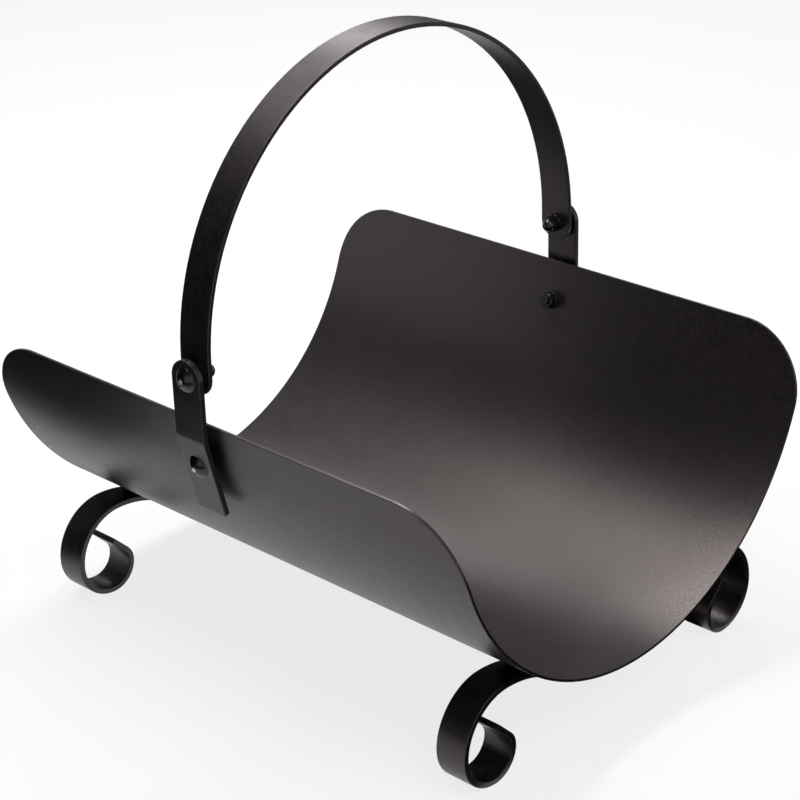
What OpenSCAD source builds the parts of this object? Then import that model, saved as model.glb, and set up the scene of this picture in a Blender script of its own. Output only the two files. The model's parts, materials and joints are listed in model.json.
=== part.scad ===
// Log holder for the hearth: a rolled sheet cradle on two scrolled flat-bar feet,
// with an arched carrying handle that swings on two bolted side brackets.
// Frame: X runs along the cradle with the front end at +X, left is +Y, Z is up.
// The origin is on the floor under the middle of the cradle.

/* [Cradle] */
// Length of the sheet from end to end
cradle_len = 420; // [300:1:600]
// Outside radius of the rolled curve
cradle_r = 170.5; // [150:0.5:200]
// Thickness of the sheet
sheet_t = 2; // [1:0.1:3]
// Angle from the bottom of the curve up to where the straight wall begins
curve_deg = 78.5; // [70:0.5:84]
// Length of the straight wall above the curve
wall_len = 27.5; // [12:0.5:45]
// Radius of the four rounded corners
corner_r = 48; // [5:0.5:60]

/* [Feet] */
// Width of the foot bar
foot_w = 23; // [15:0.5:40]
// Thickness of the foot bar
foot_t = 4; // [2:0.5:6]
// Distance of each foot bar's middle from the end of the sheet
foot_from_end = 31; // [12:1:100]
// Angle from the bottom over which the foot bar lies against the sheet
saddle_deg = 25.6; // [15:0.1:30]
// Outside radius where the bar leaves the sheet
lift_r = 80; // [40:0.5:110]
// Outside radius of the shoulder of the scroll
shoulder_r = 38.3; // [30:0.1:50]
// Outside radius of the sole of the scroll
sole_r = 28.7; // [22:0.1:34]
// Outside radius of the curl that comes up behind the sole
curl_r = 19; // [14:0.5:21]
// Outside radius of the last turn of the scroll
tip_r = 15; // [8:0.5:18]
// Angle of the last turn of the scroll
tip_deg = 45; // [10:1:60]
// Straight length at the tip of the scroll
tip_len = 6; // [1:0.5:10]

/* [Handle] */
// Width of the handle bar
handle_w = 25; // [18:0.5:35]
// Thickness of the handle bar
handle_t = 3; // [2:0.5:6]
// How far the handle's outer face stands inside the outer edge of the wall's top
handle_inset = 0.96; // [-4:0.02:6]
// Straight leg from the pivot up to the start of the arch
leg_len = 7.1; // [2:0.1:80]
// Height of the pivot above the top edge of the wall
pivot_rise = 30; // [24:0.5:60]

/* [Brackets] */
// Width of the bracket bar
bracket_w = 25; // [18:0.5:35]
// Thickness of the bracket bar
bracket_t = 4; // [3:0.5:6]
// Angle from the bottom of the curve at which the bracket's leg comes nearest to the wall
seat_deg = 76; // [73:0.5:78]
// Length of the bracket's leg below its nearest line to the wall
leg_below = 29; // [15:0.5:40]
// Distance of the bracket bolt above that line
bolt_above = 6; // [0:0.5:7]
// Inside radius of the bend in the bracket
bend_r = 8; // [2:0.5:20]

/* [Fasteners] */
// Diameter of the bolts
bolt_d = 6; // [4:0.5:8]
// Diameter of the domed bolt heads
head_d = 16.5; // [13:0.1:20]
// Height of the domed bolt heads
head_h = 3.9; // [2:0.1:6]
// Width across the flats of the nuts
nut_af = 10; // [9:0.5:13]
// Height of the hexagon of the nuts
nut_h = 5; // [3:0.5:7]
// Outside diameter of the washers
washer_d = 12.5; // [10:0.1:18]
// Thickness of the washers
washer_t = 1.6; // [0.5:0.1:2.5]
// Outside diameter of the spacers behind the brackets
spacer_d = 16; // [12:0.5:22]
// Thickness of the spacers behind the brackets
spacer_t = 3.8; // [2:0.1:8]

/* [Fits] */
// Radial running clearance of the handle on its pivot bolts
pivot_clear = 0.07; // [0.02:0.01:0.1]
// Play on each side of the handle along its pivot bolts
side_play = 0.3; // [0.1:0.05:0.6]
// Radial clearance of the bolts in the fixed pieces
hole_clear = 0.25; // [0.1:0.05:0.5]
// Radial clearance between a bolt and its nut
thread_clear = 0.03; // [0.01:0.01:0.1]

/* [Hidden] */

left = 1;
right = -1;
steel_black = "#1c1a19";
bolt_black = "#141313";
$fn = 96;
// how far a cut runs past the faces that it goes through
past = 1;
// where two stretches of a bar join at a slant, one runs this far into the other
lap = 0.8;
// and its faces stay this far inside the other's, so that they never only just meet
inset = 0.01;

// a length in whole thousandths of a millimetre, which the joins of the bars rely on
function whole(length) = round(length * 1000) / 1000;

// heights
shoulder_top_z = shoulder_r + sole_r;
lift_x = whole((cradle_r + lift_r) * sin(saddle_deg));
curve_z = whole(shoulder_top_z - lift_r + (cradle_r + lift_r) * cos(saddle_deg) + inset);
curve_end = [cradle_r * sin(curve_deg), curve_z - cradle_r * cos(curve_deg)];
wall_top = curve_end + wall_len * [cos(curve_deg), sin(curve_deg)];
pivot_z = wall_top[1] + pivot_rise;

// distance of each foot bar's middle from the middle of the cradle
foot_x = cradle_len / 2 - foot_from_end;
// outside radius of the handle's arch
handle_r = whole(wall_top[0] - handle_inset);

// planes of the pivot stack, measured outwards from the middle
handle_out_y = handle_r;
handle_in_y = handle_r - handle_t;
spacer_y = handle_out_y + side_play;
bracket_in_y = spacer_y + spacer_t;
bracket_out_y = bracket_in_y + bracket_t;
pivot_washer_y = handle_in_y - side_play;
pivot_nut_y = pivot_washer_y - washer_t;

// bracket: its leg is flat, and a spacer of the same thickness holds it off the wall
leg_tilt = 90 - seat_deg;
leg_up = [cos(seat_deg), sin(seat_deg)];
leg_out = [sin(seat_deg), -cos(seat_deg)];
seat = [0, curve_z] + (cradle_r + spacer_t) * leg_out;
bend_rise = bend_r * tan(leg_tilt / 2);
bend_corner = seat + leg_up * (bracket_in_y - seat[0]) / leg_up[0];
bend_centre = [bracket_in_y - bend_r, whole(bend_corner[1] + bend_rise)];
bracket_bolt_at = seat + leg_up * bolt_above;
wall_in_r = cradle_r - sheet_t;
washer_reach = bolt_above + washer_d / 2;
leg_to_washer = spacer_t + cradle_r - sqrt(pow(wall_in_r, 2) - pow(washer_reach, 2));

// fasteners: the square neck's width, the bolt's length inside the cap nut, the dome of the
// cap nut, the bolt's length past the plain nut and the root of the shank inside the head
neck = bolt_d;
nut_grip = nut_h - 0.5;
cap_r = nut_af / 2 - 0.3;
bolt_end = 1.5;
head_root = head_h / 4;

// a square-ended stretch of bar seen from its edge, bent round a centre
module bar_bend(centre, r_in, r_out, from, to) {
  reach = r_out * 2;
  middle = (from + to) / 2;
  translate(centre)
    intersection() {
      difference() {
        circle(r = r_out);
        circle(r = r_in);
      }
      polygon([
        [0, 0],
        reach * [cos(from), sin(from)],
        reach * [cos(middle), sin(middle)],
        reach * [cos(to), sin(to)]
      ]);
    }
}

// the angle at the centre of a bend that spans the lap
function lap_deg(r) = lap / r * 180 / PI;

// turns a drawing of the Y-Z plane into a bar of the given width about X = at
module along_x(width, at = 0) {
  translate([at - width / 2, 0, 0])
    rotate([90, 0, 90])
      linear_extrude(height = width)
        children();
}

// sets a piece drawn along +Z so that it points out through one side of the cradle
module on_side(side, y, z, tilt = 0) {
  mirror([0, side < 0 ? 1 : 0, 0])
    translate([0, y, z])
      rotate([-90 - tilt, 0, 0])
        children();
}

// places a piece of the bracket bolt's stack, with z = 0 on the inner face of the leg
module on_leg(side) {
  on_side(side, bracket_bolt_at[0], bracket_bolt_at[1], leg_tilt)
    children();
}

// the space under a curve of radius r with straight walls above it, up to the wall's top edge
module cradle_fill(r) {
  inset = cradle_r - r;
  end = curve_end - inset * [sin(curve_deg), -cos(curve_deg)];
  top = end + (wall_top[1] - end[1]) / sin(curve_deg) * [cos(curve_deg), sin(curve_deg)];
  intersection() {
    translate([0, curve_z])
      circle(r = r, $fn = 180);
    translate([-cradle_r * 2, wall_top[1] - cradle_r * 2])
      square([cradle_r * 4, cradle_r * 2]);
  }
  polygon([[-top[0], top[1]], [-end[0], end[1]], end, top]);
}

// what is cut off one corner of the sheet, seen from the side
module corner_waste() {
  difference() {
    square([corner_r + past, corner_r + past]);
    circle(r = corner_r);
  }
}

module cradle_sheet() {
  color(steel_black)
    difference() {
      along_x(cradle_len)
        difference() {
          cradle_fill(cradle_r);
          cradle_fill(wall_in_r);
        }
      for (end = [0, 1])
        mirror([end, 0, 0])
          translate([cradle_len / 2 - corner_r, cradle_r * 2, wall_top[1] - corner_r])
            rotate([90, 0, 0])
              linear_extrude(height = cradle_r * 4)
                corner_waste();
      for (side = [left, right])
        on_leg(side)
          translate([0, 0, -leg_to_washer - sheet_t])
            cylinder(h = leg_to_washer + sheet_t, r = bolt_d / 2 + hole_clear);
    }
}

// one scroll of a foot bar, from where it leaves the sheet to its tip
module scroll() {
  top = [lift_x, shoulder_top_z];
  sole = [top[0] + shoulder_r - sole_r, sole_r];
  curl = [sole[0], curl_r];
  tip = [curl[0] - curl_r + tip_r, curl_r];
  bar_bend(top - [0, lift_r], lift_r - foot_t, lift_r, 90, 90 + saddle_deg + lap_deg(lift_r));
  bar_bend(top - [0, shoulder_r], shoulder_r - foot_t, shoulder_r, 0, 90);
  bar_bend(sole, sole_r - foot_t, sole_r, -90, 0);
  bar_bend(curl, curl_r - foot_t, curl_r, -180, -90);
  bar_bend(tip, tip_r - foot_t, tip_r, 180 - tip_deg, 180);
  translate(tip)
    rotate(180 - tip_deg)
      translate([tip_r - foot_t + inset, -tip_len])
        square([foot_t - 2 * inset, tip_len + inset]);
}

module foot_bar(at) {
  saddle_half = saddle_deg + lap_deg(cradle_r);
  color(steel_black)
    along_x(foot_w, at) {
      bar_bend([0, curve_z], cradle_r, cradle_r + foot_t, -90 - saddle_half, -90 + saddle_half);
      for (side = [0, 1])
        mirror([side, 0])
          scroll();
    }
}

module front_foot_bar() {
  foot_bar(foot_x);
}

module rear_foot_bar() {
  foot_bar(-foot_x);
}

module carry_handle() {
  arch_z = pivot_z + leg_len;
  color(steel_black)
    difference() {
      union() {
        along_x(handle_w) {
          bar_bend([0, arch_z], handle_in_y, handle_out_y, 0, 180);
          for (side = [0, 1])
            mirror([side, 0])
              translate([handle_in_y, pivot_z])
                square([handle_t, leg_len]);
        }
        for (side = [left, right])
          on_side(side, handle_in_y, pivot_z)
            cylinder(h = handle_t, d = handle_w);
      }
      for (side = [left, right])
        on_side(side, handle_in_y - past, pivot_z)
          cylinder(h = handle_t + 2 * past, r = bolt_d / 2 + pivot_clear);
    }
}

// the bracket's bar seen from its edge: a leg beside the wall, one bend and an upright
module bracket_edge() {
  leg_top = bend_corner - leg_up * (bend_rise - inset);
  leg_foot = seat - leg_up * leg_below;
  polygon([
    leg_foot + leg_out * inset,
    leg_foot + leg_out * (bracket_t - inset),
    leg_top + leg_out * (bracket_t - inset),
    leg_top + leg_out * inset
  ]);
  bar_bend(bend_centre, bend_r, bend_r + bracket_t, -leg_tilt, 0);
  translate([bracket_in_y, bend_centre[1]])
    square([bracket_t, pivot_z - bend_centre[1]]);
}

// the square hole for a bolt's neck, cut upwards through a bar that lies on z = 0
module neck_hole() {
  width = neck + 2 * hole_clear;
  translate([-width / 2, -width / 2, -past])
    cube([width, width, bracket_t + 2 * past]);
}

module bracket(side) {
  color(steel_black)
    difference() {
      union() {
        mirror([0, side < 0 ? 1 : 0, 0])
          along_x(bracket_w)
            bracket_edge();
        on_side(side, bracket_in_y, pivot_z)
          cylinder(h = bracket_t, d = bracket_w);
      }
      on_side(side, bracket_in_y, pivot_z)
        neck_hole();
      on_leg(side)
        neck_hole();
    }
}

module left_bracket() {
  bracket(left);
}

module right_bracket() {
  bracket(right);
}

// a domed bolt that points down from z = 0, with a square neck under its head
module coach_bolt(grip, neck_len) {
  dome_r = (pow(head_d / 2, 2) + pow(head_h, 2)) / (2 * head_h);
  color(bolt_black) {
    intersection() {
      translate([0, 0, head_h - dome_r])
        sphere(r = dome_r);
      cylinder(h = head_h, d = head_d);
    }
    translate([-neck / 2, -neck / 2, -neck_len])
      cube([neck, neck, neck_len + head_root]);
    translate([0, 0, -grip])
      cylinder(h = grip + head_root, d = bolt_d);
  }
}

// a flat ring that stands up from z = 0
module ring(outside_d, thick, clear) {
  color(bolt_black)
    difference() {
      cylinder(h = thick, d = outside_d);
      translate([0, 0, -past])
        cylinder(h = thick + 2 * past, r = bolt_d / 2 + clear);
    }
}

// the hexagon of a nut, chamfered at the faces that are named
module hexagon(chamfer_up, chamfer_down) {
  corner_d = nut_af / cos(30);
  slope = (corner_d - nut_af) / 2;
  intersection() {
    cylinder(h = nut_h, d = corner_d, $fn = 6);
    union() {
      cylinder(h = nut_h / 2, d1 = chamfer_down ? nut_af : corner_d + nut_h, d2 = corner_d + nut_h);
      translate([0, 0, nut_h / 2])
        cylinder(h = nut_h / 2, d1 = corner_d + nut_h, d2 = chamfer_up ? nut_af : corner_d + nut_h);
    }
  }
}

// a plain nut that hangs down from z = 0
module plain_nut() {
  color(bolt_black)
    translate([0, 0, -nut_h])
      difference() {
        hexagon(true, true);
        translate([0, 0, -past])
          cylinder(h = nut_h + 2 * past, r = bolt_d / 2 + thread_clear);
      }
}

// a domed cap nut that hangs down from z = 0
module cap_nut() {
  color(bolt_black)
    difference() {
      union() {
        translate([0, 0, -nut_h])
          hexagon(true, false);
        translate([0, 0, -nut_h])
          difference() {
            sphere(r = cap_r);
            cylinder(h = nut_af, d = nut_af * 2);
          }
      }
      translate([0, 0, -nut_h])
        cylinder(h = nut_h + past, r = bolt_d / 2 + thread_clear);
    }
}

module pivot_bolt(side) {
  grip = bracket_out_y - pivot_nut_y + nut_grip;
  on_side(side, bracket_out_y, pivot_z)
    coach_bolt(grip, bracket_t);
}

module left_pivot_bolt() {
  pivot_bolt(left);
}

module right_pivot_bolt() {
  pivot_bolt(right);
}

module left_pivot_spacer() {
  on_side(left, spacer_y, pivot_z)
    ring(spacer_d, spacer_t, hole_clear);
}

module right_pivot_spacer() {
  on_side(right, spacer_y, pivot_z)
    ring(spacer_d, spacer_t, hole_clear);
}

module left_pivot_washer() {
  on_side(left, pivot_nut_y, pivot_z)
    ring(washer_d, washer_t, hole_clear);
}

module right_pivot_washer() {
  on_side(right, pivot_nut_y, pivot_z)
    ring(washer_d, washer_t, hole_clear);
}

module left_pivot_nut() {
  on_side(left, pivot_nut_y, pivot_z)
    cap_nut();
}

module right_pivot_nut() {
  on_side(right, pivot_nut_y, pivot_z)
    cap_nut();
}

module bracket_bolt(side) {
  grip = bracket_t + leg_to_washer + washer_t + nut_h + bolt_end;
  on_leg(side)
    translate([0, 0, bracket_t])
      coach_bolt(grip, bracket_t);
}

module left_bracket_bolt() {
  bracket_bolt(left);
}

module right_bracket_bolt() {
  bracket_bolt(right);
}

module left_bracket_spacer() {
  on_leg(left)
    translate([0, 0, -spacer_t])
      ring(spacer_d, spacer_t, hole_clear);
}

module right_bracket_spacer() {
  on_leg(right)
    translate([0, 0, -spacer_t])
      ring(spacer_d, spacer_t, hole_clear);
}

module left_bracket_washer() {
  on_leg(left)
    translate([0, 0, -leg_to_washer - washer_t])
      ring(washer_d, washer_t, hole_clear);
}

module right_bracket_washer() {
  on_leg(right)
    translate([0, 0, -leg_to_washer - washer_t])
      ring(washer_d, washer_t, hole_clear);
}

module left_bracket_nut() {
  on_leg(left)
    translate([0, 0, -leg_to_washer - washer_t])
      plain_nut();
}

module right_bracket_nut() {
  on_leg(right)
    translate([0, 0, -leg_to_washer - washer_t])
      plain_nut();
}

cradle_sheet();
front_foot_bar();
rear_foot_bar();
carry_handle();
left_bracket();
right_bracket();
left_pivot_bolt();
right_pivot_bolt();
left_pivot_spacer();
right_pivot_spacer();
left_pivot_washer();
right_pivot_washer();
left_pivot_nut();
right_pivot_nut();
left_bracket_bolt();
right_bracket_bolt();
left_bracket_spacer();
right_bracket_spacer();
left_bracket_washer();
right_bracket_washer();
left_bracket_nut();
right_bracket_nut();
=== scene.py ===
import json
import math
import bmesh
import bpy
from bpy.props import FloatProperty, FloatVectorProperty, PointerProperty
from bpy.types import Operator, Panel, PropertyGroup
from mathutils import Matrix, Vector

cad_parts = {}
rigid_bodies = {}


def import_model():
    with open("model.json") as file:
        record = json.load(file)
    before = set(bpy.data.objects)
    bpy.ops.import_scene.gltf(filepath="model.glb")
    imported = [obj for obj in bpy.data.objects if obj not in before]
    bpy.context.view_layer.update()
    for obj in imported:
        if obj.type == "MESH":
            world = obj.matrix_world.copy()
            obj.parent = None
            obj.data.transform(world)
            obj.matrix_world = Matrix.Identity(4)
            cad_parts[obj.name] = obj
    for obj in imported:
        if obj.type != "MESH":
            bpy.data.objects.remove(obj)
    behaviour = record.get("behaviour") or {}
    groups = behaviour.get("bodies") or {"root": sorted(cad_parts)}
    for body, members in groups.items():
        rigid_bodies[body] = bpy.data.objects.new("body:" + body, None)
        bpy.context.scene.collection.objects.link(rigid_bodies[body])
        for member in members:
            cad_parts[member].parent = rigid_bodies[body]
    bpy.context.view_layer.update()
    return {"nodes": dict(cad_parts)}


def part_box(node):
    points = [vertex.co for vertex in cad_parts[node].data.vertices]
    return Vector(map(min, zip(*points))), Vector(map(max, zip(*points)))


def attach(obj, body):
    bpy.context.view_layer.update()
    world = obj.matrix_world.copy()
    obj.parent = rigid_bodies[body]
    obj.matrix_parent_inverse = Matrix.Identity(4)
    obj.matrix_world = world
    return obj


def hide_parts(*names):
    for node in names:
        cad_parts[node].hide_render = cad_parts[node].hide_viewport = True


bl_info = {
    "name": "Log Holder",
    "version": (1, 0, 0),
    "blender": (4, 5, 0),
    "location": "3D View > Sidebar > Log Holder",
    "description": "Dresses the packed log holder: coated sheet, flat bars, fasteners, welds and stage",
    "category": "Object",
}

for old in list(bpy.data.objects):
    bpy.data.objects.remove(old)

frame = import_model()
NODES = frame["nodes"]

MM = 0.001
SIDES = {"left": 1, "right": -1}
ENDS = {"front": 1, "rear": -1}
BIG_PIECES = ("cradle_sheet", "front_foot_bar", "rear_foot_bar", "carry_handle",
              "left_bracket", "right_bracket")

# the rolled sheet, as in the part's source
SHEET_R = 170.5 * MM
SHEET_T = 2 * MM
SHEET_LEN = 420 * MM
CURVE_DEG = 78.5
WALL_LEN = 27.5 * MM
CORNER_R = 48 * MM
CURVE_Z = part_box("cradle_sheet")[0].z + SHEET_R
# flat cuts that make up one rounded corner
CORNER_CUTS = 18

# the feet
FOOT_W = 23 * MM
FOOT_T = 4 * MM
FOOT_X = 179 * MM
SADDLE_DEG = 25.6
LIFT_R = 80 * MM
SHOULDER_R = 38.3 * MM
SOLE_R = 28.7 * MM
CURL_R = 19 * MM
TIP_R = 15 * MM
TIP_DEG = 45
# the straight tip of a scroll, 10 mm longer than on the solid, as the photograph shows it
TIP_LEN = 16 * MM
# how far apart the ends of a bar's two halves may lie and still be joined. They lie 0.06 mm
# apart, because CURVE_Z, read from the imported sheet, is 0.065 mm above where their arcs put it
SEAM_REACH = 0.5 * MM

# stitch welds: where each starts and how far it runs, in degrees round the sheet
WELD_AT = (-22, -3.5, 15)
WELD_DEG = 7
# each bead: the steps it is drawn in, the sides of its rings, the share of its size at both
# ends, the steps over which it swells to all of it, and how far it ripples to either side
WELD_STEPS = 24
WELD_SIDES = 10
WELD_END = 0.35
WELD_SWELL = 3
WELD_RIPPLE = 0.12

# the handle and its brackets
BAR_W = 25 * MM
HANDLE_T = 3 * MM
HANDLE_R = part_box("carry_handle")[1].y
PIVOT_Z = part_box("carry_handle")[0].z + BAR_W / 2
ARCH_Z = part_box("carry_handle")[1].z - HANDLE_R
BRACKET_T = 4 * MM
BRACKET_IN_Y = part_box("left_bracket")[1].y - BRACKET_T
SEAT_DEG = 76
SEAT_GAP = 3.8 * MM
LEG_BELOW = 29 * MM
BOLT_ABOVE = 6 * MM
BEND_R = 8 * MM
HEAD_H = 3.9 * MM

# holes: the bolts are 6 mm, and their square necks sit in square holes
BOLT_HOLE_R = 3.25 * MM
PIVOT_HOLE_R = 3.07 * MM
# points nearer than this, in metres, to a cut or to a height count as lying on it, and the
# reach is finer where holes are drilled
CUT_REACH = 1e-6
DRILL_REACH = 1e-7
# each arc of a bar's round end stops this far short of the middle of the bar
ROUND_SHORT = 0.002 * MM
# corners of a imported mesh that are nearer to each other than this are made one
JOIN_REACH = 0.001 * MM
# edges that turn by more than this many degrees are rounded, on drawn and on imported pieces
SHARP_DRAWN = 40
SHARP_PACKED = 35

# the powder coat: width of its soft clouds, depth of its orange peel, and how far its
# roughness strays to either side
COAT_CLOUD = 14 * MM
PEEL_DEPTH = 0.06 * MM
COAT_STRAY = 0.05
# its darkest and its palest tone, as shares of its colour, and the values of the mottle at
# which they are reached
COAT_TONES = (0.6, 1.35)
COAT_SPREAD = (0.36, 0.66)

# the bolts' coat: width of its grain, depth of its dents, and its tones as above, which
# follow the grain
BOLT_GRAIN = 0.7 * MM
DENT_DEPTH = 0.04 * MM
BOLT_TONES = (0.75, 1.3)
BOLT_SPREAD = (0.35, 0.7)
# the highlight painted on the crown of each domed head as a pale, partly metallic patch: the most that
# the grain adds to the distance from the top, the sum up to which the patch is whole, and the sum from
# which on the coat shows alone
HIGHLIGHT_RAGGED = 1.2 * MM
HIGHLIGHT_FULL = 1.6 * MM
HIGHLIGHT_EDGE = 2.4 * MM

# the photograph's viewpoint: place in metres, turns in degrees, focal length and width in
# pixels, and the width of the camera's sensor in millimetres
VIEW_FROM = (0.907821, -0.939542, 0.769105)
VIEW_YAW = 43.84765
VIEW_PITCH = -25.06412
VIEW_ROLL = -1.67994
VIEW_FOCAL = 2156.564
PHOTO_SIZE = 800
SENSOR = 36.0
# the nearest and the furthest that the camera draws, in metres
CLIP_NEAR = 0.05
CLIP_FAR = 50

# the stage: half the side of its square floor and the height of the backdrop along each
# side, in metres, and the share of their board that cameras and reflections see as white
STAGE_HALF = 6
BACKDROP_HEIGHT = 3
BOARD_WHITE = 0.8
# strength of the even light from all round
WORLD_LIGHT = 0.1
# black cards that only reflections see: width, height, place and the point that each faces
DARK_CARDS = {
    "dark_card_left": (1.3, 0.8, (-0.25, -0.82, 0.401), (0, -0.82, 0.401)),
    "dark_card_right": (1.335, 1.3, (0.8625, 0.5, 0.001), (0.8625, 0.5, 1)),
    # painted shadow: this card stands for the shade on the floor under the object, which reflections
    # would otherwise see as plain white
    "shadow_card_under": (0.16, 0.18, (0.10, 0.10, 0.001), (0.10, 0.10, 1)),
    "dark_card_rear": (0.8, 0.42, (-0.66, 0.15, 0.001), (-0.66, 0.15, 1)),
    "dark_card_front": (0.75, 0.65, (0.125, -0.775, 0.001), (0.125, -0.775, 1)),
    "dark_card_far": (0.9, 0.75, (-1.06, 1.05, 0.376), (0, 0, 0.376)),
}
# lamps: width, height, watts, place and the point that each shines on
LAMPS = {
    "key_light": (0.5, 0.4, 3.9, (-1.24, 1.0, 1.25), (0, 0, 0.3)),
    "top_light": (0.4, 1.3, 24, (-0.42, 0.15, 1.4), (-0.42, 0.15, 0)),
    "fill_light": (1.2, 1.2, 11, (1.2, -0.3, 1.5), (0, 0, 0.1)),
}


def linear(code):
    """The linear colour of an sRGB hex value such as 1c1a19."""
    parts = [int(code[i:i + 2], 16) / 255 for i in (0, 2, 4)]
    return [c / 12.92 if c <= 0.04045 else ((c + 0.055) / 1.055) ** 2.4 for c in parts]


def settings():
    return bpy.context.scene.log_holder


class LogHolderFinish(PropertyGroup):
    coat: FloatVectorProperty(
        name="Coat", description="Colour of the powder coat", subtype="COLOR",
        size=3, min=0, max=1, default=linear("141211"))
    coat_grain: FloatProperty(
        name="Coat grain", description="Width of the grains that the coat dries in",
        default=2 * MM, min=0.2 * MM, max=5 * MM, unit="LENGTH", precision=5)
    coat_roughness: FloatProperty(
        name="Coat roughness", description="How matt the powder coat is",
        default=0.38, min=0.1, max=1)
    bolt: FloatVectorProperty(
        name="Bolts", description="Colour of the blackened fasteners", subtype="COLOR",
        size=3, min=0, max=1, default=linear("100f0f"))
    bolt_roughness: FloatProperty(
        name="Bolt roughness", description="How matt the fasteners are",
        default=0.25, min=0.05, max=1)


class LogHolderSizes(PropertyGroup):
    bar_edge: FloatProperty(
        name="Bar edge", description="Radius of the rolled edges of the flat bars",
        default=0.6 * MM, min=0.1 * MM, max=1.5 * MM, unit="LENGTH", precision=5)
    sheet_edge: FloatProperty(
        name="Sheet edge", description="Radius of the deburred edges of the sheet",
        default=0.35 * MM, min=0.1 * MM, max=0.9 * MM, unit="LENGTH", precision=5)
    bolt_edge: FloatProperty(
        name="Fastener edge", description="Radius of the edges of bolts, nuts and washers",
        default=0.25 * MM, min=0.05 * MM, max=0.6 * MM, unit="LENGTH", precision=5)
    weld: FloatProperty(
        name="Weld bead", description="Radius of the weld beads under the sheet",
        default=2 * MM, min=1 * MM, max=2.4 * MM, unit="LENGTH", precision=5)


def add_node(tree, kind, values=None, links=None, **attributes):
    """Adds one shader node, sets its attributes and input values, and links its inputs."""
    node = tree.nodes.new(kind)
    for name, value in attributes.items():
        setattr(node, name, value)
    for name, value in (values or {}).items():
        node.inputs[name].default_value = value
    for name, output in (links or {}).items():
        tree.links.new(output, node.inputs[name])
    return node


def blank_material(name):
    material = bpy.data.materials.new(name)
    material.use_nodes = True
    material.node_tree.nodes.clear()
    return material, material.node_tree


def powder_coat():
    """Satin black polyester powder coat, baked on mild steel: a soft broad sheen,
    a fine orange peel and a faint mottle where the film is thicker. The real peel is too
    fine to show at this distance, so it is drawn coarser."""
    finish = settings().finish
    material, tree = blank_material("satin_black_powder_coat")
    place = add_node(tree, "ShaderNodeTexCoord").outputs["Object"]
    grain = add_node(
        tree, "ShaderNodeTexVoronoi",
        {"Scale": 1 / finish.coat_grain, "Smoothness": 0.5, "Randomness": 1.0},
        {"Vector": place}, feature="SMOOTH_F1")
    cloud = add_node(
        tree, "ShaderNodeTexNoise",
        {"Scale": 1 / COAT_CLOUD, "Detail": 4.0, "Roughness": 0.55},
        {"Vector": place})
    mottle = add_node(
        tree, "ShaderNodeMix", {"Factor": 0.35},
        {"A": grain.outputs["Distance"], "B": cloud.outputs["Fac"]})
    coat = list(finish.coat)
    tones = add_node(tree, "ShaderNodeValToRGB", None, {"Fac": mottle.outputs["Result"]})
    for stop, share, reached in zip(tones.color_ramp.elements, COAT_TONES, COAT_SPREAD):
        stop.position = reached
        stop.color = [c * share for c in coat] + [1]
    dull = add_node(
        tree, "ShaderNodeMapRange",
        {"From Min": 0.2, "From Max": 0.7,
         "To Min": finish.coat_roughness - COAT_STRAY,
         "To Max": finish.coat_roughness + COAT_STRAY},
        {"Value": mottle.outputs["Result"]})
    swell = add_node(
        tree, "ShaderNodeTexNoise",
        {"Scale": 1 / finish.coat_grain, "Detail": 1.0, "Roughness": 0.5},
        {"Vector": place})
    peel = add_node(
        tree, "ShaderNodeBump", {"Strength": 1.0, "Distance": PEEL_DEPTH},
        {"Height": swell.outputs["Fac"]})
    skin = add_node(
        tree, "ShaderNodeBsdfPrincipled",
        {"IOR": 1.6, "Metallic": 0.0, "Specular Tint": (1.0, 0.87, 0.85, 1)},
        {"Base Color": tones.outputs["Color"], "Roughness": dull.outputs["Result"],
         "Normal": peel.outputs["Normal"]})
    add_node(tree, "ShaderNodeOutputMaterial", None, {"Surface": skin.outputs["BSDF"]})
    return material


def crown_points():
    """The tops of the left bolts' domed heads, which the right ones mirror, and round which the bolts'
    highlights are painted.
    """
    seat = math.radians(SEAT_DEG)
    out = Vector((0, math.sin(seat), -math.cos(seat)))
    rise = Vector((0, math.cos(seat), math.sin(seat)))
    face = Vector((0, 0, CURVE_Z)) + out * (SHEET_R + SEAT_GAP + BRACKET_T)
    return (Vector((0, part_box("left_pivot_bolt")[1].y, PIVOT_Z)),
            face + rise * BOLT_ABOVE + out * HEAD_H)


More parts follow.
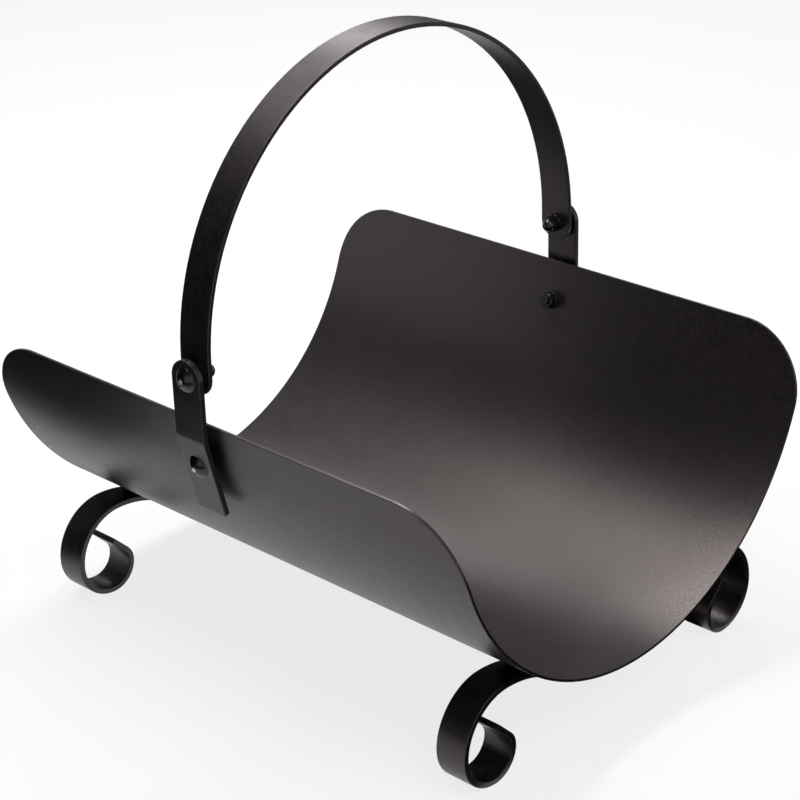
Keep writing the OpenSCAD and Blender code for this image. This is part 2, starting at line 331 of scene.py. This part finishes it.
def bolt_black():
    """Cold-headed steel with a thin black coat: smoother and glossier than the bars, with a highlight
    painted on the crown of each domed head as a pale, partly metallic patch that looks like bare steel."""
    finish = settings().finish
    material, tree = blank_material("blackened_bolt_steel")
    place = add_node(tree, "ShaderNodeTexCoord").outputs["Object"]
    grain = add_node(
        tree, "ShaderNodeTexNoise",
        {"Scale": 1 / BOLT_GRAIN, "Detail": 2.0, "Roughness": 0.5},
        {"Vector": place})
    folded = add_node(
        tree, "ShaderNodeVectorMath", None, {0: place}, operation="ABSOLUTE").outputs[0]
    away = [
        add_node(tree, "ShaderNodeVectorMath", {1: crown}, {0: folded},
                 operation="DISTANCE").outputs["Value"]
        for crown in crown_points()]
    nearest = add_node(
        tree, "ShaderNodeMath", None, {0: away[0], 1: away[1]}, operation="MINIMUM")
    # painted highlight: the distance to the nearest crown, made ragged by the grain, sets where the
    # pale patch lies
    highlight_reach = add_node(
        tree, "ShaderNodeMath", {1: HIGHLIGHT_RAGGED},
        {0: grain.outputs["Fac"], 2: nearest.outputs[0]}, operation="MULTIPLY_ADD")
    highlight_spot = add_node(
        tree, "ShaderNodeMapRange",
        {"From Min": HIGHLIGHT_FULL, "From Max": HIGHLIGHT_EDGE, "To Min": 1.0, "To Max": 0.0},
        {"Value": highlight_reach.outputs[0]}).outputs["Result"]
    black = list(finish.bolt)
    tones = add_node(tree, "ShaderNodeValToRGB", None, {"Fac": grain.outputs["Fac"]})
    for stop, share, reached in zip(tones.color_ramp.elements, BOLT_TONES, BOLT_SPREAD):
        stop.position = reached
        stop.color = [c * share for c in black] + [1]
    # the painted highlight's pale colour over the black coat, which is also made partly metallic and
    # less glossy there
    highlight_colour = add_node(
        tree, "ShaderNodeMix", {"B": linear("dcd8d0") + [1]},
        {0: highlight_spot, "A": tones.outputs["Color"]}, data_type="RGBA")
    dull = add_node(
        tree, "ShaderNodeMapRange",
        {"To Min": finish.bolt_roughness, "To Max": 0.5}, {"Value": highlight_spot})
    highlight_metal = add_node(tree, "ShaderNodeMath", {1: 0.6}, {0: highlight_spot}, operation="MULTIPLY")
    dents = add_node(
        tree, "ShaderNodeBump", {"Strength": 0.2, "Distance": DENT_DEPTH},
        {"Height": grain.outputs["Fac"]})
    skin = add_node(
        tree, "ShaderNodeBsdfPrincipled", {"IOR": 1.5},
        {"Base Color": highlight_colour.outputs["Result"], "Metallic": highlight_metal.outputs[0],
         "Roughness": dull.outputs["Result"], "Normal": dents.outputs["Normal"]})
    add_node(tree, "ShaderNodeOutputMaterial", None, {"Surface": skin.outputs["BSDF"]})
    return material


def material_named(name, make):
    return bpy.data.materials.get(name) or make()


def start_strip(x_from, x_to, y, z):
    """A bmesh that holds one edge along X, ready to be drawn out into a strip."""
    form = bmesh.new()
    ends = [form.verts.new((x, y, z)) for x in (x_from, x_to)]
    form.edges.new(ends)
    return form, form.edges[:]


def run_on(form, edges, along):
    """Draws the strip's last edges on in a straight line."""
    drawn = bmesh.ops.extrude_edge_only(form, edges=edges)["geom"]
    bmesh.ops.translate(
        form, vec=along, verts=[v for v in drawn if isinstance(v, bmesh.types.BMVert)])
    return [e for e in drawn if isinstance(e, bmesh.types.BMEdge)]


def bend_on(form, edges, centre, degrees, step=3.0):
    """Bends the strip's last edges on round a line along X, given by its Y and Z, in flats
    of about the given step in degrees."""
    drawn = bmesh.ops.spin(
        form, geom=edges, cent=(0, *centre), axis=(1, 0, 0), dvec=(0, 0, 0),
        angle=math.radians(degrees), steps=max(2, round(abs(degrees) / step)),
        use_merge=False, use_duplicate=False)["geom_last"]
    return [e for e in drawn if isinstance(e, bmesh.types.BMEdge)]


def drill(form, centre, axis, radius, sides=16, patch=9 * MM, depth=25 * MM):
    """Cuts a hole with that many sides through the strip, round an axis in the Y-Z plane.
    The patch is half the width of the square round the hole that is cut up finely, and the
    depth keeps the cuts to this side of the piece."""
    centre, axis = Vector(centre), Vector(axis).normalized()
    across = Vector((1, 0, 0))
    along = axis.cross(across)

    def away(face):
        return face.calc_center_median() - centre

    def on_this_side():
        return [f for f in form.faces if abs(away(f).dot(axis)) < depth]

    def nearby(reach):
        return [f for f in on_this_side()
                if abs(away(f).dot(across)) < reach and abs(away(f).dot(along)) < reach]

    def split(faces, turn, distance):
        direction = across * math.cos(turn) + along * math.sin(turn)
        geometry = set(faces)
        for face in faces:
            geometry.update(face.edges)
            geometry.update(face.verts)
        bmesh.ops.bisect_plane(
            form, geom=list(geometry), dist=DRILL_REACH,
            plane_co=centre + direction * distance, plane_no=direction)

    for turn in (0, 90, 180, 270):
        split(on_this_side(), math.radians(turn), patch)
    for index in range(sides):
        split(nearby(patch), 2 * math.pi * index / sides, radius)
    # the faces inside the hole, whose middles lie a little within its radius
    well_inside = radius * 0.98
    hole = [f for f in nearby(radius)
            if (away(f) - axis * away(f).dot(axis)).length < well_inside]
    bmesh.ops.delete(form, geom=hole, context="FACES")


def finish_piece(name, form, material, node, body, thickness, edge, seen_from):
    """Makes a strip a piece of the given thickness with rounded edges, which stands for a
    CAD node. The strip is the side that looks at the given point, and the thickness lies
    behind it."""
    form.normal_update()
    point = Vector(seen_from)
    nearest = min(form.faces, key=lambda f: (f.calc_center_median() - point).length)
    if nearest.normal.dot(point - nearest.calc_center_median()) < 0:
        bmesh.ops.reverse_faces(form, faces=form.faces[:])
    for face in form.faces:
        face.smooth = True
    mesh = bpy.data.meshes.new(name)
    form.to_mesh(mesh)
    form.free()
    piece = bpy.data.objects.new(name, mesh)
    bpy.context.scene.collection.objects.link(piece)
    mesh.materials.append(material)
    wall = piece.modifiers.new("thickness", "SOLIDIFY")
    wall.thickness = thickness
    wall.offset = -1
    wall.use_even_offset = True
    rounding = piece.modifiers.new("edge_radius", "BEVEL")
    rounding.width = edge
    rounding.segments = 3
    rounding.limit_method = "ANGLE"
    rounding.angle_limit = math.radians(SHARP_DRAWN)
    rounding.harden_normals = True
    rounding.use_clamp_overlap = False
    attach(piece, body)
    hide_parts(node)


def dress(node, material, edge):
    """Gives a CAD node its finish, and rounds its sharp edges."""
    part = NODES[node]
    part.data.materials.clear()
    part.data.materials.append(material)
    joined = part.modifiers.new("join_corners", "WELD")
    joined.merge_threshold = JOIN_REACH
    rounding = part.modifiers.new("edge_radius", "BEVEL")
    rounding.width = edge
    rounding.segments = 2
    rounding.limit_method = "ANGLE"
    rounding.angle_limit = math.radians(SHARP_PACKED)
    rounding.harden_normals = True
    rounding.use_clamp_overlap = True


class LOGHOLDER_OT_sheet(Operator):
    """Roll the sheet, round its corners and drill it for the bracket bolts"""
    bl_idname = "logholder.sheet"
    bl_label = "Cradle sheet"

    def execute(self, context):
        lean = math.radians(CURVE_DEG)
        half = SHEET_LEN / 2
        wide = SHEET_R * math.sin(lean)
        low = CURVE_Z - SHEET_R * math.cos(lean)
        up = Vector((0, math.cos(lean), math.sin(lean))) * WALL_LEN
        form, edge = start_strip(-half, half, -wide - up.y, low + up.z)
        edge = run_on(form, edge, (0, up.y, -up.z))
        edge = bend_on(form, edge, (0, CURVE_Z), 2 * CURVE_DEG, step=2.5)
        run_on(form, edge, up)
        top = max(v.co.z for v in form.verts)
        for end in ENDS.values():
            corner = Vector((end * (half - CORNER_R), 0, top - CORNER_R))
            for index in range(CORNER_CUTS):
                turn = math.radians(90 * (index + 0.5) / CORNER_CUTS)
                out = Vector((end * math.cos(turn), 0, math.sin(turn)))
                bmesh.ops.bisect_plane(
                    form, geom=form.verts[:] + form.edges[:] + form.faces[:], dist=CUT_REACH,
                    plane_co=corner + out * CORNER_R, plane_no=out, clear_outer=True)
        seat = math.radians(SEAT_DEG)
        for side in SIDES.values():
            out = Vector((0, side * math.sin(seat), -math.cos(seat)))
            rise = Vector((0, side * math.cos(seat), math.sin(seat)))
            hole = Vector((0, 0, CURVE_Z)) + out * SHEET_R + rise * BOLT_ABOVE
            drill(form, hole, out, BOLT_HOLE_R)
        coat = material_named("satin_black_powder_coat", powder_coat)
        finish_piece("rolled_sheet", form, coat, "cradle_sheet", "cradle",
                     SHEET_T, settings().sizes.sheet_edge, (0, 0, 0))
        return {"FINISHED"}


class LOGHOLDER_OT_feet(Operator):
    """Bend the two foot bars: saddle, shoulders and scrolls"""
    bl_idname = "logholder.feet"
    bl_label = "Foot bars"

    def execute(self, context):
        coat = material_named("satin_black_powder_coat", powder_coat)
        lift_y = (SHEET_R + LIFT_R) * math.sin(math.radians(SADDLE_DEG))
        sole_y = lift_y + SHOULDER_R - SOLE_R
        tip_y = sole_y - CURL_R + TIP_R
        top = SHOULDER_R + SOLE_R
        lean = math.radians(TIP_DEG)
        for name, end in ENDS.items():
            middle = end * FOOT_X
            form, edge = start_strip(
                middle - FOOT_W / 2, middle + FOOT_W / 2,
                tip_y - TIP_R * math.cos(lean) + TIP_LEN * math.sin(lean),
                CURL_R + TIP_R * math.sin(lean) + TIP_LEN * math.cos(lean))
            edge = run_on(form, edge, (0, -TIP_LEN * math.sin(lean), -TIP_LEN * math.cos(lean)))
            edge = bend_on(form, edge, (tip_y, CURL_R), TIP_DEG, step=5)
            edge = bend_on(form, edge, (sole_y, CURL_R), 90, step=4.5)
            edge = bend_on(form, edge, (sole_y, SOLE_R), 90, step=4)
            edge = bend_on(form, edge, (lift_y, top - SHOULDER_R), 90, step=3.5)
            edge = bend_on(form, edge, (lift_y, top - LIFT_R), SADDLE_DEG, step=3)
            bend_on(form, edge, (0, CURVE_Z), -SADDLE_DEG, step=2.5)
            bmesh.ops.mirror(
                form, geom=form.verts[:] + form.edges[:] + form.faces[:], axis="Y",
                merge_dist=SEAM_REACH)
            bmesh.ops.recalc_face_normals(form, faces=form.faces[:])
            finish_piece(name + "_scrolled_bar", form, coat, name + "_foot_bar", "cradle",
                         FOOT_T, settings().sizes.bar_edge, (middle, 0, CURVE_Z))
        return {"FINISHED"}


def weld_bead(form, x, turn, degrees, radius):
    """Lays one rippled, closed bead along the corner of bar and sheet, from an angle on."""
    start = Matrix.Translation((0, 0, CURVE_Z)) @ Matrix.Rotation(turn, 4, "X")
    # the middle line of a bead lies a quarter of its radius outside the sheet
    on_corner = Matrix.Translation((x, 0, -SHEET_R - radius / 4))
    upright = Matrix.Rotation(math.pi / 2, 4, "X")
    ring = bmesh.ops.create_circle(
        form, segments=WELD_SIDES, radius=radius, cap_ends=False,
        matrix=start @ on_corner @ upright)
    rings = [ring["verts"]]
    edges = [e for e in form.edges if all(v in ring["verts"] for v in e.verts)]
    for _ in range(WELD_STEPS):
        drawn = bmesh.ops.extrude_edge_only(form, edges=edges)["geom"]
        rings.append([v for v in drawn if isinstance(v, bmesh.types.BMVert)])
        edges = [e for e in drawn if isinstance(e, bmesh.types.BMEdge)]
        bmesh.ops.rotate(
            form, verts=rings[-1], cent=(0, 0, CURVE_Z),
            matrix=Matrix.Rotation(math.radians(degrees / WELD_STEPS), 3, "X"))
    for index, verts in enumerate(rings):
        centre = sum((v.co for v in verts), Vector()) / len(verts)
        swell = min(index, WELD_STEPS - index) / WELD_SWELL
        ripple = 1 - WELD_RIPPLE + WELD_RIPPLE * math.cos(math.pi * index)
        size = min(1.0, WELD_END + (1 - WELD_END) * swell) * ripple
        bmesh.ops.scale(form, vec=(size,) * 3, verts=verts,
                        space=Matrix.Translation(-centre))
    for verts in (rings[0], rings[-1]):
        bmesh.ops.contextual_create(form, geom=verts)


class LOGHOLDER_OT_welds(Operator):
    """Lay the weld beads on the inner side of each foot bar, where it meets the sheet"""
    bl_idname = "logholder.welds"
    bl_label = "Weld beads"

    def execute(self, context):
        coat = material_named("satin_black_powder_coat", powder_coat)
        for name, end in ENDS.items():
            form = bmesh.new()
            corner = end * (FOOT_X - FOOT_W / 2)
            for start in WELD_AT:
                weld_bead(form, corner, math.radians(start), WELD_DEG, settings().sizes.weld)
            bmesh.ops.recalc_face_normals(form, faces=form.faces[:])
            for face in form.faces:
                face.smooth = True
            mesh = bpy.data.meshes.new(name + "_weld_beads")
            form.to_mesh(mesh)
            form.free()
            beads = bpy.data.objects.new(name + "_weld_beads", mesh)
            context.scene.collection.objects.link(beads)
            mesh.materials.append(coat)
            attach(beads, "cradle")
        return {"FINISHED"}


def round_end(form, z):
    """Rounds the end of a bar to a half circle, at its two corners at that height."""
    corners = [v for v in form.verts if abs(v.co.z - z) < CUT_REACH]
    bmesh.ops.bevel(
        form, geom=corners, offset=BAR_W / 2 - ROUND_SHORT, affect="VERTICES",
        segments=14, profile=0.5, material=-1)


class LOGHOLDER_OT_handle(Operator):
    """Bend the carrying handle, round its ends and drill it for the pivots"""
    bl_idname = "logholder.handle"
    bl_label = "Carrying handle"

    def execute(self, context):
        form, edge = start_strip(-BAR_W / 2, BAR_W / 2, HANDLE_R, PIVOT_Z - BAR_W / 2)
        edge = run_on(form, edge, (0, 0, ARCH_Z - PIVOT_Z + BAR_W / 2))
        edge = bend_on(form, edge, (0, ARCH_Z), 180, step=2.5)
        run_on(form, edge, (0, 0, PIVOT_Z - ARCH_Z - BAR_W / 2))
        round_end(form, PIVOT_Z - BAR_W / 2)
        for side in SIDES.values():
            drill(form, (0, side * HANDLE_R, PIVOT_Z), (0, 1, 0), PIVOT_HOLE_R)
        coat = material_named("satin_black_powder_coat", powder_coat)
        finish_piece("arched_handle", form, coat, "carry_handle", "handle",
                     HANDLE_T, settings().sizes.bar_edge, (0, 0, 1))
        return {"FINISHED"}


class LOGHOLDER_OT_brackets(Operator):
    """Bend the two brackets, round their tops and punch their square holes"""
    bl_idname = "logholder.brackets"
    bl_label = "Brackets"

    def execute(self, context):
        coat = material_named("satin_black_powder_coat", powder_coat)
        seat_turn = math.radians(SEAT_DEG)
        tilt = math.radians(90 - SEAT_DEG)
        for name, side in SIDES.items():
            out = Vector((0, side * math.sin(seat_turn), -math.cos(seat_turn)))
            rise = Vector((0, side * math.cos(seat_turn), math.sin(seat_turn)))
            seat = Vector((0, 0, CURVE_Z)) + out * (SHEET_R + SEAT_GAP + BRACKET_T)
            corner = seat + rise * ((BRACKET_IN_Y + BRACKET_T - abs(seat.y)) / abs(rise.y))
            setback = (BEND_R + BRACKET_T) * math.tan(tilt / 2)
            foot = seat - rise * LEG_BELOW
            form, edge = start_strip(-BAR_W / 2, BAR_W / 2, foot.y, foot.z)
            edge = run_on(form, edge, corner - rise * setback - foot)
            edge = bend_on(
                form, edge, (side * (BRACKET_IN_Y - BEND_R), corner.z + setback),
                side * (90 - SEAT_DEG), step=2)
            run_on(form, edge, (0, 0, PIVOT_Z + BAR_W / 2 - corner.z - setback))
            round_end(form, max(v.co.z for v in form.verts))
            drill(form, (0, side * (BRACKET_IN_Y + BRACKET_T), PIVOT_Z), (0, 1, 0),
                  BOLT_HOLE_R, sides=4)
            drill(form, seat + rise * BOLT_ABOVE, out, BOLT_HOLE_R, sides=4)
            finish_piece(name + "_bent_bracket", form, coat, name + "_bracket", "cradle",
                         BRACKET_T, settings().sizes.bar_edge, (0, side, PIVOT_Z))
        return {"FINISHED"}


class LOGHOLDER_OT_fasteners(Operator):
    """Blacken the bolts, nuts, washers and spacers, and round their edges"""
    bl_idname = "logholder.fasteners"
    bl_label = "Fasteners"

    def execute(self, context):
        black = material_named("blackened_bolt_steel", bolt_black)
        for name in NODES:
            if name not in BIG_PIECES:
                dress(name, black, settings().sizes.bolt_edge)
        return {"FINISHED"}


def pale_board(name, share):
    """Matt pale board that takes the object's shadow. The camera, and a reflection in the
    object, see that share of it as plain white. From behind it is clear, so that the object
    can be looked at from under the floor."""
    material, tree = blank_material(name)
    matt = add_node(
        tree, "ShaderNodeBsdfDiffuse", {"Color": linear("f2f2f2") + [1], "Roughness": 0.6})
    white = add_node(
        tree, "ShaderNodeEmission", {"Color": (1, 1, 1, 1), "Strength": 1})
    ray = add_node(tree, "ShaderNodeLightPath").outputs
    mirrored = add_node(
        tree, "ShaderNodeMath", None,
        {0: ray["Is Glossy Ray"], 1: ray["Is Transmission Ray"]}, operation="MAXIMUM")
    seen = add_node(
        tree, "ShaderNodeMath", None,
        {0: ray["Is Camera Ray"], 1: mirrored.outputs[0]}, operation="MAXIMUM")
    part = add_node(
        tree, "ShaderNodeMath", {1: share}, {0: seen.outputs[0]}, operation="MULTIPLY")
    board = add_node(
        tree, "ShaderNodeMixShader", None,
        {0: part.outputs[0], 1: matt.outputs[0], 2: white.outputs[0]})
    behind = add_node(tree, "ShaderNodeNewGeometry").outputs["Backfacing"]
    clear = add_node(tree, "ShaderNodeBsdfTransparent", {"Color": (1, 1, 1, 1)})
    one_sided = add_node(
        tree, "ShaderNodeMixShader", None,
        {0: behind, 1: board.outputs[0], 2: clear.outputs[0]})
    add_node(tree, "ShaderNodeOutputMaterial", None, {"Surface": one_sided.outputs[0]})
    return material


def black_cloth(name):
    """Black card of the kind that keeps reflections off a glossy object."""
    material, tree = blank_material(name)
    matt = add_node(
        tree, "ShaderNodeBsdfDiffuse", {"Color": linear("0a0a0a") + [1], "Roughness": 0.8})
    add_node(tree, "ShaderNodeOutputMaterial", None, {"Surface": matt.outputs[0]})
    return material


def studio_world(strength):
    """Even soft light from all round."""
    world = bpy.data.worlds.new("studio")
    world.use_nodes = True
    tree = world.node_tree
    tree.nodes.clear()
    fill = add_node(
        tree, "ShaderNodeBackground", {"Color": (1, 1, 1, 1), "Strength": strength})
    add_node(tree, "ShaderNodeOutputWorld", None, {"Surface": fill.outputs[0]})
    return world


def stage_card(name, material, width, height, place, towards):
    """A flat stage card that faces a point."""
    mesh = bpy.data.meshes.new(name)
    form = bmesh.new()
    bmesh.ops.create_grid(form, x_segments=1, y_segments=1, size=0.5)
    bmesh.ops.scale(form, vec=(width, height, 1), verts=form.verts)
    turn = (Vector(towards) - Vector(place)).to_track_quat("Z", "Y").to_matrix().to_4x4()
    bmesh.ops.transform(form, matrix=Matrix.Translation(place) @ turn, verts=form.verts)
    form.to_mesh(mesh)
    form.free()
    card = bpy.data.objects.new(name, mesh)
    card.data.materials.append(material)
    bpy.context.scene.collection.objects.link(card)
    return card


def soft_light(name, width, height, power, place, towards):
    lamp = bpy.data.lights.new(name, "AREA")
    lamp.shape = "RECTANGLE"
    lamp.size = width
    lamp.size_y = height
    lamp.energy = power
    light = bpy.data.objects.new(name, lamp)
    light.location = place
    light.rotation_mode = "QUATERNION"
    light.rotation_quaternion = (Vector(towards) - Vector(place)).to_track_quat("-Z", "Y")
    bpy.context.scene.collection.objects.link(light)


def photo_camera():
    yaw, pitch, roll = (math.radians(a) for a in (VIEW_YAW, VIEW_PITCH, VIEW_ROLL))
    ahead = Vector((-math.sin(yaw) * math.cos(pitch), math.cos(yaw) * math.cos(pitch),
                    math.sin(pitch)))
    right = Vector((math.cos(yaw), math.sin(yaw), 0))
    up = right.cross(ahead)
    right, up = (right * math.cos(roll) + up * math.sin(roll),
                 up * math.cos(roll) - right * math.sin(roll))
    data = bpy.data.cameras.new("photo_camera")
    data.sensor_fit = "HORIZONTAL"
    data.sensor_width = SENSOR
    data.lens = VIEW_FOCAL / PHOTO_SIZE * SENSOR
    data.clip_start = CLIP_NEAR
    data.clip_end = CLIP_FAR
    camera = bpy.data.objects.new("photo_camera", data)
    bpy.context.scene.collection.objects.link(camera)
    place = Matrix((right, up, -ahead)).transposed().to_4x4()
    place.translation = VIEW_FROM
    camera.matrix_world = place
    bpy.context.scene.camera = camera


class LOGHOLDER_OT_stage(Operator):
    """Make the camera, the floor and the studio light"""
    bl_idname = "logholder.stage"
    bl_label = "Stage"

    def execute(self, context):
        scene = context.scene
        photo_camera()
        pale = pale_board("pale_board", BOARD_WHITE)
        half, middle = STAGE_HALF, BACKDROP_HEIGHT / 2
        stage_card("floor", pale, 2 * half, 2 * half, (0, 0, 0), (0, 0, 1))
        for index, (x, y) in enumerate(((half, 0), (0, half), (-half, 0), (0, -half))):
            stage_card(f"backdrop_{index + 1}", pale, 2 * half, BACKDROP_HEIGHT,
                       (x, y, middle), (0, 0, middle))
        cloth = black_cloth("black_card")
        for name, (width, height, place, towards) in DARK_CARDS.items():
            card = stage_card(name, cloth, width, height, place, towards)
            card.visible_camera = False
            card.visible_diffuse = False
            card.visible_shadow = False
            card.visible_transmission = False
        scene.world = studio_world(WORLD_LIGHT)
        for name, (width, height, watts, place, towards) in LAMPS.items():
            soft_light(name, width, height, watts, place, towards)
        scene.view_settings.view_transform = "Standard"
        return {"FINISHED"}


class LogHolder(PropertyGroup):
    finish: PointerProperty(type=LogHolderFinish)
    sizes: PointerProperty(type=LogHolderSizes)


class LOGHOLDER_PT_panel(Panel):
    bl_idname = "LOGHOLDER_PT_panel"
    bl_label = "Log Holder"
    bl_space_type = "VIEW_3D"
    bl_region_type = "UI"
    bl_category = "Log Holder"

    def draw(self, context):
        layout = self.layout
        for step in STEPS:
            layout.operator(step.bl_idname)
        for group in (settings().finish, settings().sizes):
            for name in group.bl_rna.properties.keys():
                if name not in ("rna_type", "name"):
                    layout.prop(group, name)


STEPS = (LOGHOLDER_OT_stage, LOGHOLDER_OT_sheet, LOGHOLDER_OT_feet, LOGHOLDER_OT_welds,
         LOGHOLDER_OT_handle, LOGHOLDER_OT_brackets, LOGHOLDER_OT_fasteners)
CLASSES = (LogHolderFinish, LogHolderSizes, LogHolder, *STEPS, LOGHOLDER_PT_panel)


def register():
    for item in CLASSES:
        bpy.utils.register_class(item)
    bpy.types.Scene.log_holder = PointerProperty(type=LogHolder)


def unregister():
    del bpy.types.Scene.log_holder
    for item in reversed(CLASSES):
        bpy.utils.unregister_class(item)


def main():
    register()
    bpy.ops.logholder.stage()
    bpy.ops.logholder.sheet()
    bpy.ops.logholder.feet()
    bpy.ops.logholder.welds()
    bpy.ops.logholder.handle()
    bpy.ops.logholder.brackets()
    bpy.ops.logholder.fasteners()


if __name__ == "__main__":
    main()
